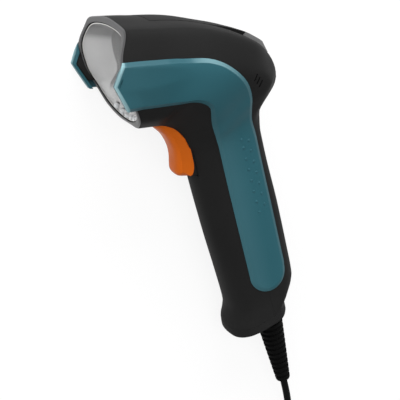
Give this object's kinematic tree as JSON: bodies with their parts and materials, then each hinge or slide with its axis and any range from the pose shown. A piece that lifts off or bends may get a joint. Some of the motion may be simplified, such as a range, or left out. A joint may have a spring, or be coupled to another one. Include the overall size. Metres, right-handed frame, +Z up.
{
  "type": "handheld barcode scanner",
  "caption": "Wired handheld scanner with a pistol grip, side pads that end in wings beside the curved window, a rocking trigger, and a cable with a strain relief.",
  "frame": {"origin": "on the floor under the middle of the scanner's box, measured without the free cable, its tie and its plug", "axes": "+X towards the back of the head, +Y towards the roof (the grip runs to -Y), +Z up from the floor on which the scanner lies on its right side pad and the side of its foot"},
  "size_m": [0.109, 0.3292, 0.0671],
  "materials": {
    "charcoal_shell": "fine matt",
    "teal_grip": "satin soft-touch",
    "bezel": "matt",
    "black_rubber": "matt",
    "clear_window": "polished",
    "pale_reflector": "semi-gloss",
    "led_lens": "polished",
    "circuit_board": "solder mask",
    "black_plastic": "satin",
    "lens_glass": "polished",
    "sheet_metal": "satin",
    "screw_steel": "satin",
    "flex_film": "film",
    "roof_inlay": "semi-gloss",
    "light_pipe": "frosted",
    "orange_trigger": "satin",
    "white_plastic": "satin",
    "clear_plug": "clear",
    "cable_rubber": "matt",
    "plug_steel": "plated"
  },
  "bodies": {
    "scanner": {"rear_housing": "charcoal_shell", "front_housing": "charcoal_shell", "left_side_pad": "teal_grip", "right_side_pad": "teal_grip", "nose_frame": "bezel", "window_gasket": "black_rubber", "scan_window": "clear_window", "light_shroud": "pale_reflector", "illumination_leds": "led_lens", "led_board": "circuit_board", "engine_body": "black_plastic", "camera_lens_barrel": "black_plastic", "camera_lens_glass": "lens_glass", "aimer_lens": "lens_glass", "engine_bracket": "sheet_metal", "engine_screws": "screw_steel", "main_board": "circuit_board", "flex_ribbon": "flex_film", "beeper": "black_plastic", "top_panel": "roof_inlay", "indicator_light_pipe": "light_pipe", "trigger_pivot_pin": "screw_steel", "trigger_switch": "black_plastic", "switch_board": "circuit_board", "base_cap": "charcoal_shell", "modular_jack": "black_plastic", "modular_plug": "clear_plug", "strain_relief": "cable_rubber", "housing_screws": "screw_steel", "cord_run": "cable_rubber", "cord_coil": "cable_rubber", "cord_tail": "cable_rubber", "cord_tie": "black_rubber", "usb_plug_body": "black_plastic", "usb_plug_shell": "plug_steel", "usb_plug_insert": "white_plastic"},
    "trigger": {"trigger": "orange_trigger", "trigger_spring": "screw_steel"},
    "plunger": {"switch_plunger": "white_plastic"}
  },
  "joints": [
    {"name": "trigger_hinge", "type": "hinge", "parent": "scanner", "child": "trigger", "pos_m": [-0.02138, 0.05536, 0.02986], "axis": [0, -0.1278, 0.9918], "range_deg": [0, 6], "stiffness_Nm_per_rad": 0.25, "springref_deg": -5.73},
    {"name": "plunger_slide", "type": "slide", "parent": "scanner", "child": "plunger", "axis": [1, 0, 0], "range_m": [0, 0.00125]}
  ],
  "couplings": [
    {"joint": "plunger_slide", "follows": "trigger_hinge", "m_per_rad": 0.0116}
  ]
}
